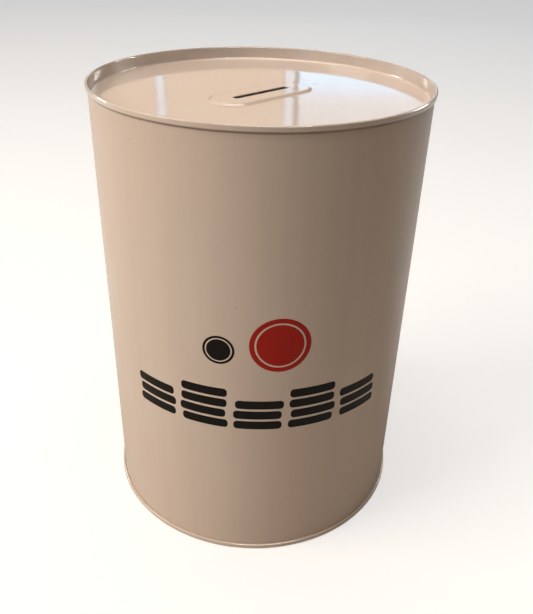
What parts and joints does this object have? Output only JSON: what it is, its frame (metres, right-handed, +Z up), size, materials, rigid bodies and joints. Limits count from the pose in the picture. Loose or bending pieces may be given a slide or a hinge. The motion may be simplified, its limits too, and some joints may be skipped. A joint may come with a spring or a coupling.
{
  "type": "tin money box",
  "caption": "Tall round tinplate money box with a double-seamed top and base, a coin slot in a pressed panel and a pull-out stopper.",
  "frame": {"origin": "on the floor at the tin's axis, centre of the bounding box's bottom face", "axes": "+Z up along the tin's axis; the printed front faces -Y; the welded side seam is at +Y"},
  "size_m": [0.1578, 0.1578, 0.2194],
  "materials": {
    "printed_enamel": "gloss printed enamel",
    "end_enamel": "gloss enamel",
    "sealing_compound": "matte",
    "stopper_plastic": "satin soft plastic"
  },
  "bodies": {
    "tin": {"body_shell": "printed_enamel", "top_end": "end_enamel", "base_end": "end_enamel", "top_seam_compound": "sealing_compound", "base_seam_compound": "sealing_compound"},
    "stopper": {"base_stopper": "stopper_plastic"}
  },
  "joints": [
    {"name": "stopper_pull", "type": "slide", "parent": "tin", "child": "stopper", "axis": [0, 0, -1], "range_m": [0, 0.03]}
  ]
}
